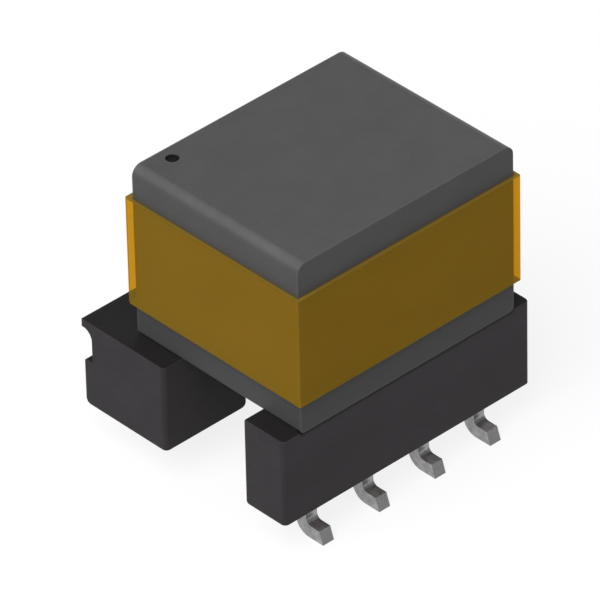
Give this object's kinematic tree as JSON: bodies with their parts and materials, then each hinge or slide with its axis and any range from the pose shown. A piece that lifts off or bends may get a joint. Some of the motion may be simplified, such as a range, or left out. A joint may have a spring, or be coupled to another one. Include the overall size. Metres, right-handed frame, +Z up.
{
  "type": "surface-mount pulse transformer",
  "caption": "Small board-mounted ferrite transformer: round-window core halves held by an amber tape band on a black two-rail coil former with bent solder leads.",
  "frame": {"origin": "centre of the part's box in plan, at the solder feet's undersides where they meet the board", "axes": "+Z up from the board through the core's flat top, +X along the rails, -Y towards the narrow front rail"},
  "size_m": [0.011, 0.0098, 0.0113],
  "materials": {
    "moulded_former": "fine matt moulded phenolic",
    "ferrite": "sintered, dull grey",
    "amber_tape": "clear amber film",
    "coil_tape": "smooth film",
    "enamelled_wire": "enamelled copper",
    "tinned_lead": "dull tin plate"
  },
  "bodies": {
    "root": {"bobbin": "moulded_former", "core_half_front": "ferrite", "core_half_rear": "ferrite", "core_tape": "amber_tape", "coil_wrap": "coil_tape", "first_layer_tape": "coil_tape", "second_layer_tape": "coil_tape", "third_layer_tape": "coil_tape", "primary_winding": "enamelled_wire", "bias_winding": "enamelled_wire", "secondary_winding": "enamelled_wire", "drive_winding": "enamelled_wire", "lead_1": "tinned_lead", "lead_2": "tinned_lead", "lead_3": "tinned_lead", "lead_4": "tinned_lead", "lead_5": "tinned_lead", "lead_6": "tinned_lead", "lead_7": "tinned_lead", "lead_8": "tinned_lead"}
  },
  "joints": []
}
